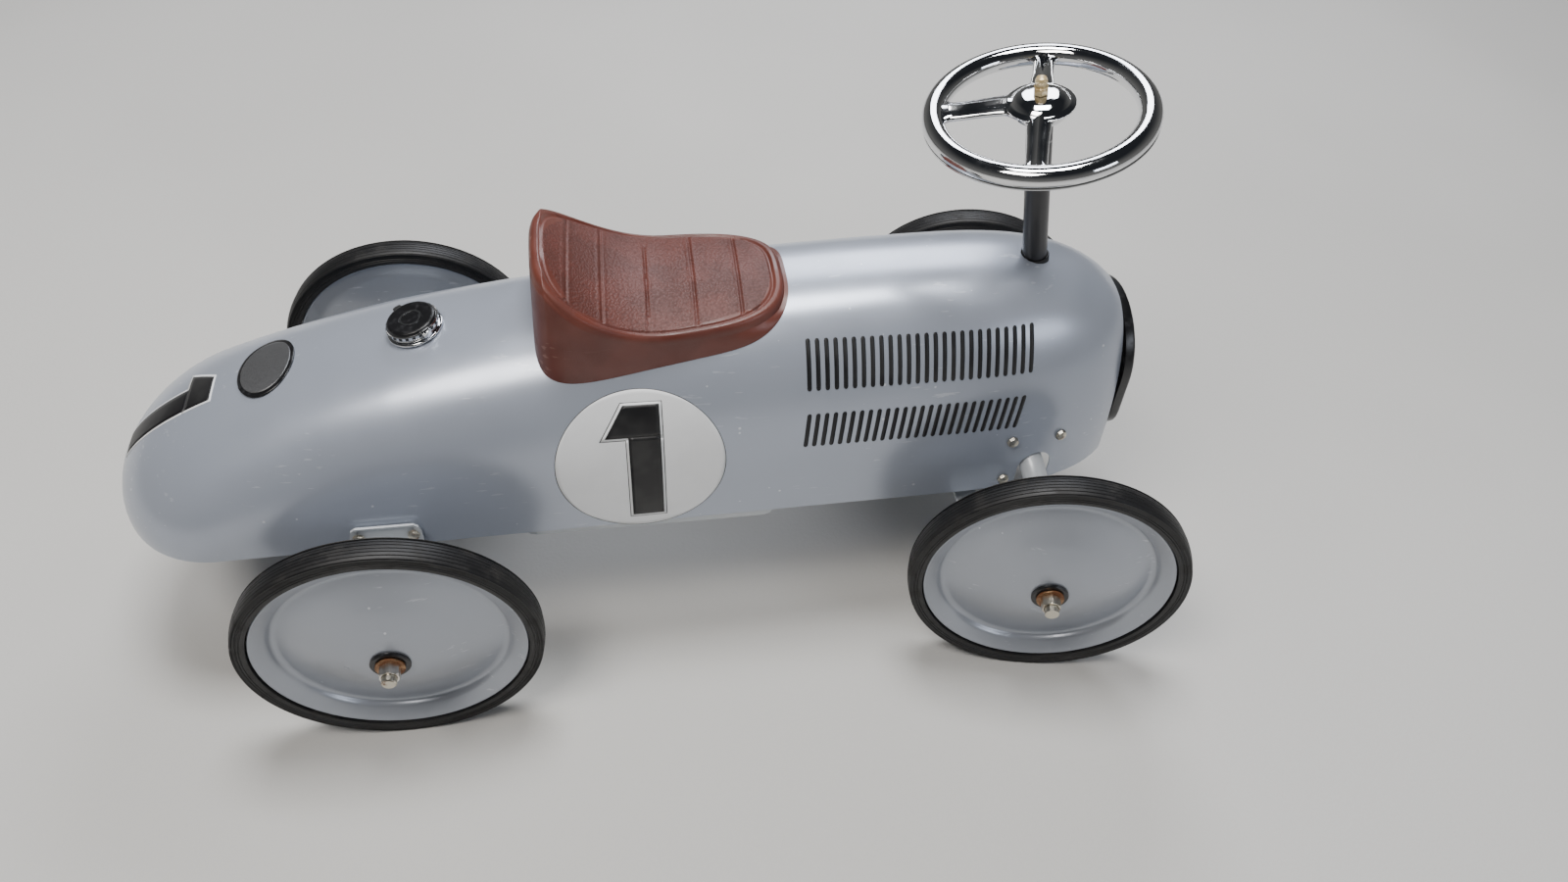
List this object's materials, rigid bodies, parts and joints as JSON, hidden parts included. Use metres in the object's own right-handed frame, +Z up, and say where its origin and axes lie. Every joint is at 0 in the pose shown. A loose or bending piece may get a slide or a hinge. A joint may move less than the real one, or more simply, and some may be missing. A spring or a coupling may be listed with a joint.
{
  "type": "ride-on metal racer",
  "caption": "Foot-to-floor pressed-steel bullet racer for a small child, with disc wheels on rubber tyres, a moulded saddle and a raked column that steers the front wheels.",
  "frame": {"origin": "on the ground, below the middle of the racer's outer box", "axes": "+X towards the nose, +Y to the rider's left, +Z up"},
  "size_m": [0.7532, 0.363, 0.4169],
  "materials": {
    "body_paint": "semi-gloss silver-grey enamel over pressed steel, light scratches",
    "disc_paint": "semi-gloss silver-grey enamel, scuffed",
    "bracket_paint": "pale silver enamel",
    "tyre_rubber": "matte solid black rubber with fine ribs",
    "grommet_rubber": "matte black rubber",
    "black_plastic": "satin black moulded plastic",
    "chrome": "polished chrome plate",
    "zinc_steel": "zinc-plated steel, slightly rusted",
    "column_paint": "satin black enamel",
    "saddle_plastic": "brown moulded plastic with a leather grain, satin",
    "badge_metal": "dull grey plate with a black rim, left plain",
    "nut_cap": "pale worn brass"
  },
  "bodies": {
    "chassis": {"axle_bolt_left": "zinc_steel", "axle_bolt_right": "zinc_steel", "body_shell": "body_paint", "column_bush": "black_plastic", "filler_cap": "black_plastic", "filler_neck": "chrome", "floor_pan": "bracket_paint", "front_axle": "bracket_paint", "front_bracket": "zinc_steel", "front_screw_left_1": "zinc_steel", "front_screw_left_2": "zinc_steel", "front_screw_left_3": "zinc_steel", "front_screw_right_1": "zinc_steel", "front_screw_right_2": "zinc_steel", "front_screw_right_3": "zinc_steel", "hood_grommet": "grommet_rubber", "nose_frame": "black_plastic", "nose_grille": "black_plastic", "rear_axle": "zinc_steel", "rear_bracket_left": "bracket_paint", "rear_bracket_right": "bracket_paint", "rear_nut_left": "zinc_steel", "rear_nut_right": "zinc_steel", "rear_screw_left_1": "zinc_steel", "rear_screw_left_2": "zinc_steel", "rear_screw_right_1": "zinc_steel", "rear_screw_right_2": "zinc_steel", "saddle": "saddle_plastic", "saddle_bolt_front": "zinc_steel", "saddle_bolt_rear": "zinc_steel", "tail_badge": "badge_metal"},
    "steering": {"steering_column": "column_paint", "steering_crank": "zinc_steel", "steering_wheel": "chrome", "acorn_nut": "nut_cap"},
    "tie_rod": {"tie_rod": "bracket_paint"},
    "knuckle_left": {"stub_axle_left": "zinc_steel", "steering_arm_left": "bracket_paint", "kingpin_retainer_left": "zinc_steel", "front_nut_left": "zinc_steel"},
    "front_wheel_left": {"front_left_tyre": "tyre_rubber", "front_left_outer_disc": "disc_paint", "front_left_inner_disc": "disc_paint", "front_left_bush": "black_plastic"},
    "rear_wheel_left": {"rear_left_tyre": "tyre_rubber", "rear_left_outer_disc": "disc_paint", "rear_left_inner_disc": "disc_paint", "rear_left_bush": "black_plastic"},
    "knuckle_right": {"stub_axle_right": "zinc_steel", "steering_arm_right": "bracket_paint", "kingpin_retainer_right": "zinc_steel", "front_nut_right": "zinc_steel"},
    "front_wheel_right": {"front_right_tyre": "tyre_rubber", "front_right_outer_disc": "disc_paint", "front_right_inner_disc": "disc_paint", "front_right_bush": "black_plastic"},
    "rear_wheel_right": {"rear_right_tyre": "tyre_rubber", "rear_right_outer_disc": "disc_paint", "rear_right_inner_disc": "disc_paint", "rear_right_bush": "black_plastic"}
  },
  "joints": [
    {"name": "steering_turn", "type": "hinge", "parent": "chassis", "child": "steering", "pos_m": [0.24395, 0, 0.388], "axis": [-0.1736, 0, 0.9848], "range_deg": [-14.1, 52.5]},
    {"name": "tie_rod_slide", "type": "slide", "parent": "chassis", "child": "tie_rod", "axis": [0, -1, 0], "range_m": [-0.0074, 0.027]},
    {"name": "knuckle_left_turn", "type": "hinge", "parent": "chassis", "child": "knuckle_left", "pos_m": [0.27137, 0.116, 0.1], "axis": [0, 0, 1], "range_deg": [-8.6, 31.6]},
    {"name": "knuckle_right_turn", "type": "hinge", "parent": "chassis", "child": "knuckle_right", "pos_m": [0.27137, -0.116, 0.1], "axis": [0, 0, 1], "range_deg": [-8.6, 31.6]},
    {"name": "rear_wheel_left_spin", "type": "hinge", "parent": "chassis", "child": "rear_wheel_left", "pos_m": [-0.19063, 0.148, 0.1], "axis": [0, 1, 0], "continuous": true},
    {"name": "rear_wheel_right_spin", "type": "hinge", "parent": "chassis", "child": "rear_wheel_right", "pos_m": [-0.19063, -0.148, 0.1], "axis": [0, 1, 0], "continuous": true},
    {"name": "front_wheel_left_spin", "type": "hinge", "parent": "knuckle_left", "child": "front_wheel_left", "pos_m": [0.27775, 0.14736, 0.1], "axis": [0.1994, 0.9799, 0], "continuous": true},
    {"name": "front_wheel_right_spin", "type": "hinge", "parent": "knuckle_right", "child": "front_wheel_right", "pos_m": [0.26499, -0.14736, 0.1], "axis": [0.1994, 0.9799, 0], "continuous": true}
  ],
  "couplings": [
    {"joint": "knuckle_left_turn", "follows": "steering_turn", "ratio": 0.6},
    {"joint": "knuckle_right_turn", "follows": "steering_turn", "ratio": 0.6},
    {"joint": "tie_rod_slide", "follows": "steering_turn", "m_per_rad": 0.0293}
  ]
}
